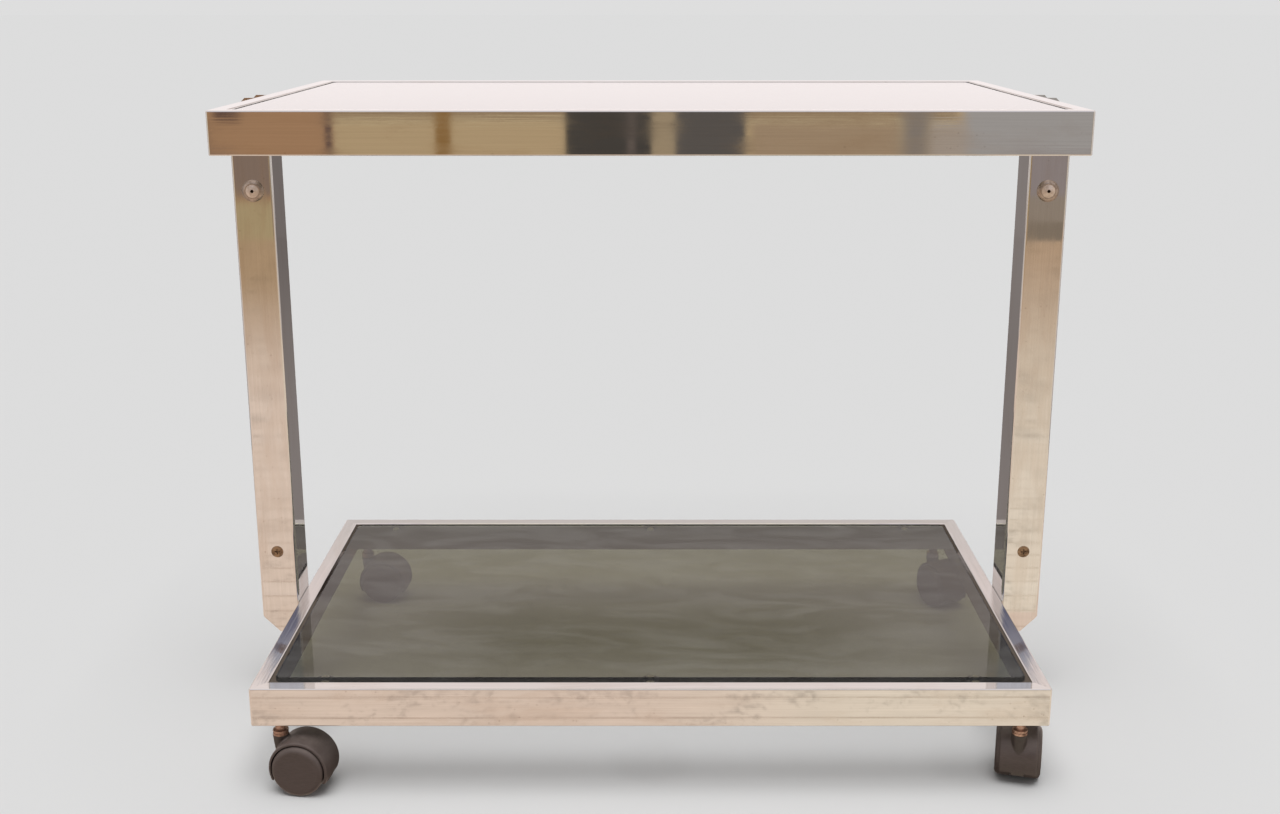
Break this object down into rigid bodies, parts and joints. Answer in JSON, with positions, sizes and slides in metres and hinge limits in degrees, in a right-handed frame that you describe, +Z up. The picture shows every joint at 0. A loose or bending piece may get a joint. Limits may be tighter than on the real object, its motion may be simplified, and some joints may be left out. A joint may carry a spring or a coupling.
{
  "type": "bar cart",
  "caption": "Low rolling bar cart of chromed rectangular tube: glass top and glass shelf in mitred frames, held by a single side leg at each end, on hooded twin-wheel swivel casters.",
  "frame": {"origin": "on the floor, under the middle of the two frames", "axes": "+X to the right along the long side, +Y from the front to the back, +Z up"},
  "size_m": [0.83, 0.4835, 0.6356],
  "materials": {
    "chromed_tube": "polished plate",
    "smoked_glass": "polished",
    "chromed_sheet": "plated",
    "clear_rubber": "soft",
    "bare_steel": "drawn",
    "black_plastic": "moulded",
    "chromed_fastener": "plated",
    "dulled_fastener": "dulled plate",
    "coppered_steel": "copper-flashed, tarnished",
    "brown_nylon": "moulded satin"
  },
  "bodies": {
    "cart_frame": {"top_front_rail": "chromed_tube", "top_back_rail": "chromed_tube", "top_left_rail": "chromed_tube", "top_right_rail": "chromed_tube", "shelf_front_rail": "chromed_tube", "shelf_back_rail": "chromed_tube", "shelf_left_rail": "chromed_tube", "shelf_right_rail": "chromed_tube", "top_glass": "smoked_glass", "shelf_glass": "smoked_glass", "top_glass_lugs": "chromed_sheet", "shelf_glass_lugs": "chromed_sheet", "top_glass_pads": "clear_rubber", "shelf_glass_pads": "clear_rubber", "left_leg": "chromed_tube", "right_leg": "chromed_tube", "top_left_spigot": "bare_steel", "top_right_spigot": "bare_steel", "shelf_left_spigot": "bare_steel", "shelf_right_spigot": "bare_steel", "lower_leg_plugs": "black_plastic", "upper_leg_plugs": "black_plastic", "upper_leg_screws": "chromed_fastener", "lower_leg_screws": "dulled_fastener", "upper_screw_cups": "chromed_fastener", "front_left_stem": "coppered_steel", "front_right_stem": "coppered_steel", "rear_left_stem": "coppered_steel", "rear_right_stem": "coppered_steel", "stem_bushes": "bare_steel", "stem_grip_rings": "bare_steel"},
    "front_left_caster": {"front_left_hood": "brown_nylon", "front_left_axle": "bare_steel"},
    "front_left_wheel_left": {"front_left_wheel_left": "brown_nylon"},
    "front_left_wheel_right": {"front_left_wheel_right": "brown_nylon"},
    "front_right_caster": {"front_right_hood": "brown_nylon", "front_right_axle": "bare_steel"},
    "front_right_wheel_left": {"front_right_wheel_left": "brown_nylon"},
    "front_right_wheel_right": {"front_right_wheel_right": "brown_nylon"},
    "rear_left_caster": {"rear_left_hood": "brown_nylon", "rear_left_axle": "bare_steel"},
    "rear_left_wheel_left": {"rear_left_wheel_left": "brown_nylon"},
    "rear_left_wheel_right": {"rear_left_wheel_right": "brown_nylon"},
    "rear_right_caster": {"rear_right_hood": "brown_nylon", "rear_right_axle": "bare_steel"},
    "rear_right_wheel_left": {"rear_right_wheel_left": "brown_nylon"},
    "rear_right_wheel_right": {"rear_right_wheel_right": "brown_nylon"}
  },
  "joints": [
    {"name": "front_left_swivel", "type": "hinge", "parent": "cart_frame", "child": "front_left_caster", "pos_m": [-0.3492, -0.2175, 0.0533], "axis": [0, 0, 1], "continuous": true},
    {"name": "front_left_left_roll", "type": "hinge", "parent": "front_left_caster", "child": "front_left_wheel_left", "pos_m": [-0.32822, -0.22052, 0.025], "axis": [0.1426, 0.9898, 0], "continuous": true},
    {"name": "front_left_right_roll", "type": "hinge", "parent": "front_left_caster", "child": "front_left_wheel_right", "pos_m": [-0.32822, -0.22052, 0.025], "axis": [0.1426, 0.9898, 0], "continuous": true},
    {"name": "front_right_swivel", "type": "hinge", "parent": "cart_frame", "child": "front_right_caster", "pos_m": [0.3492, -0.2175, 0.0533], "axis": [0, 0, 1], "continuous": true},
    {"name": "front_right_left_roll", "type": "hinge", "parent": "front_right_caster", "child": "front_right_wheel_left", "pos_m": [0.35465, -0.19701, 0.025], "axis": [-0.9664, 0.2571, 0], "continuous": true},
    {"name": "front_right_right_roll", "type": "hinge", "parent": "front_right_caster", "child": "front_right_wheel_right", "pos_m": [0.35465, -0.19701, 0.025], "axis": [-0.9664, 0.2571, 0], "continuous": true},
    {"name": "rear_left_swivel", "type": "hinge", "parent": "cart_frame", "child": "rear_left_caster", "pos_m": [-0.3492, 0.2175, 0.0533], "axis": [0, 0, 1], "continuous": true},
    {"name": "rear_left_left_roll", "type": "hinge", "parent": "rear_left_caster", "child": "rear_left_wheel_left", "pos_m": [-0.32812, 0.21528, 0.025], "axis": [0.1045, 0.9945, 0], "continuous": true},
    {"name": "rear_left_right_roll", "type": "hinge", "parent": "rear_left_caster", "child": "rear_left_wheel_right", "pos_m": [-0.32812, 0.21528, 0.025], "axis": [0.1045, 0.9945, 0], "continuous": true},
    {"name": "rear_right_swivel", "type": "hinge", "parent": "cart_frame", "child": "rear_right_caster", "pos_m": [0.3492, 0.2175, 0.0533], "axis": [0, 0, 1], "continuous": true},
    {"name": "rear_right_left_roll", "type": "hinge", "parent": "rear_right_caster", "child": "rear_right_wheel_left", "pos_m": [0.35782, 0.19813, 0.025], "axis": [0.9135, 0.4067, 0], "continuous": true},
    {"name": "rear_right_right_roll", "type": "hinge", "parent": "rear_right_caster", "child": "rear_right_wheel_right", "pos_m": [0.35782, 0.19813, 0.025], "axis": [0.9135, 0.4067, 0], "continuous": true}
  ]
}
